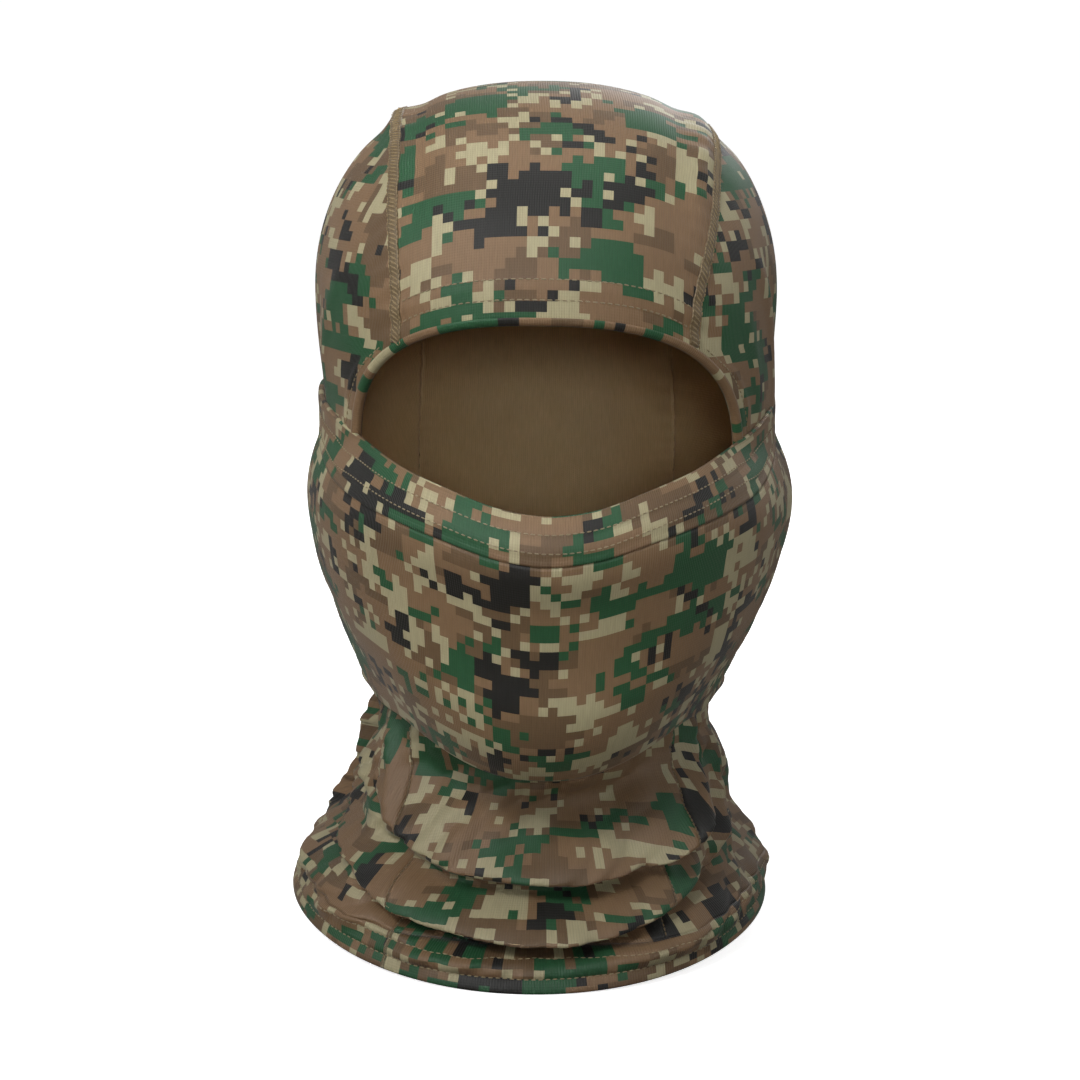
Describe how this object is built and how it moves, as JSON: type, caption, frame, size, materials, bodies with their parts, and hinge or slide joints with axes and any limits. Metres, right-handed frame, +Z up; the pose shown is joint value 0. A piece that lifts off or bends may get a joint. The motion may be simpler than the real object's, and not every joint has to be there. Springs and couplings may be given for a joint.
{
  "type": "hooded face mask",
  "caption": "Knitted head covering with a panelled hood, a fold-down outer mask over nose and mouth, and a flared neck, shaped as worn.",
  "frame": {"origin": "middle of the neck hem's underside, under the centre of the object's box", "axes": "+Z up along the neck to the crown, face towards -Y, +X to the wearer's left"},
  "size_m": [0.174, 0.2246, 0.298],
  "materials": {
    "camo_knit": "printed polyester jersey, square-celled camouflage in two browns, cream, green and black, fine ribs and a slight sheen",
    "hem_knit": "the same printed jersey, turned in and double, with two stitch rows",
    "knit_reverse": "unprinted khaki-brown reverse of the jersey",
    "seam_thread": "khaki-gold sewing thread in flat seams and twin rows"
  },
  "bodies": {
    "hood": {"crown_panel": "camo_knit", "side_panel_left": "camo_knit", "side_panel_right": "camo_knit", "brow_hem": "knit_reverse", "crown_seam_left": "seam_thread", "crown_seam_right": "seam_thread", "brow_stitch_upper": "seam_thread", "brow_stitch_lower": "seam_thread", "nape_seam": "seam_thread", "neck_front_panel": "camo_knit", "neck_back_panel": "camo_knit", "neck_seam_left": "seam_thread", "neck_seam_right": "seam_thread", "chin_seam": "seam_thread", "bottom_hem": "hem_knit", "bottom_stitch_upper": "seam_thread", "bottom_stitch_lower": "seam_thread", "mask_panel": "camo_knit", "mask_side_seam_left": "seam_thread", "mask_side_seam_right": "seam_thread"},
    "mask_edge": {"mask_hem": "hem_knit", "mask_stitch_upper": "seam_thread", "mask_stitch_lower": "seam_thread"}
  },
  "joints": [
    {"name": "mask_pull_down", "type": "slide", "parent": "hood", "child": "mask_edge", "axis": [0, 0, -1], "range_m": [0, 0.055], "deforming": ["mask_panel"]}
  ]
}
